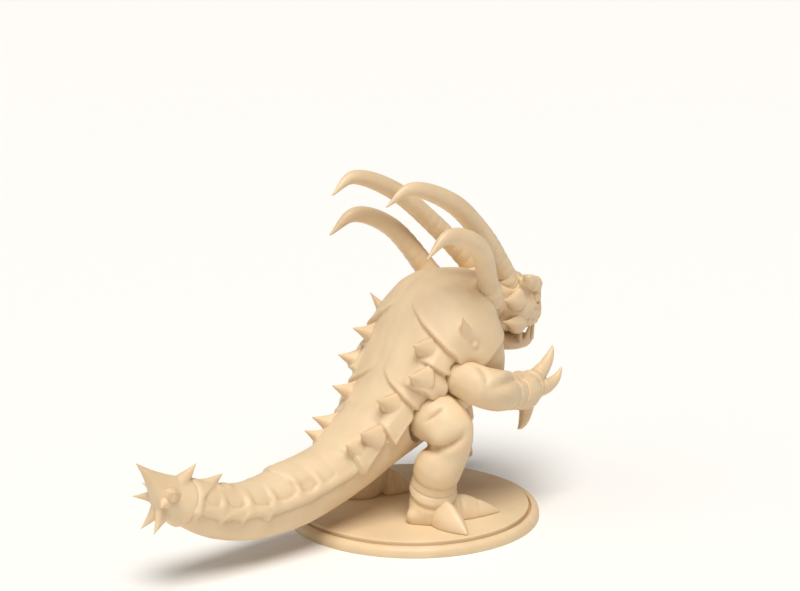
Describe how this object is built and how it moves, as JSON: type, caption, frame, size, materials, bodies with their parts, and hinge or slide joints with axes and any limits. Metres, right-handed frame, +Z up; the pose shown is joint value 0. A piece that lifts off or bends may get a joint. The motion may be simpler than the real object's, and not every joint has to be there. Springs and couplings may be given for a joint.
{
  "type": "miniature figure",
  "caption": "One-colour cast display miniature of a hunched, horned lizard beast with plated flanks, clawed limbs and a spiked tail, on a round two-step base.",
  "frame": {"origin": "centre of the round base's underside", "axes": "+X the way the beast faces, +Y its left, +Z up"},
  "size_m": [0.097, 0.05, 0.0692],
  "materials": {
    "cast_resin": "satin"
  },
  "bodies": {
    "root": {"base_plinth": "cast_resin", "base_insert": "cast_resin", "torso": "cast_resin", "flank_plates_right": "cast_resin", "flank_plates_left": "cast_resin", "tail_front": "cast_resin", "tail_rear": "cast_resin", "tail_knob": "cast_resin", "skull": "cast_resin", "lower_jaw": "cast_resin", "brow_ridges": "cast_resin", "eyes": "cast_resin", "cheek_spikes": "cast_resin", "head_horn_right": "cast_resin", "head_horn_left": "cast_resin", "shoulder_horn_right": "cast_resin", "shoulder_horn_left": "cast_resin", "upper_arm_right": "cast_resin", "upper_arm_left": "cast_resin", "forearm_right": "cast_resin", "forearm_left": "cast_resin", "hand_right": "cast_resin", "hand_left": "cast_resin", "finger_claws_right": "cast_resin", "finger_claws_left": "cast_resin", "thigh_right": "cast_resin", "thigh_left": "cast_resin", "shin_right": "cast_resin", "shin_left": "cast_resin", "foot_right": "cast_resin", "foot_left": "cast_resin", "toe_claws_right": "cast_resin", "toe_claws_left": "cast_resin", "loin_guard": "cast_resin"}
  },
  "joints": []
}
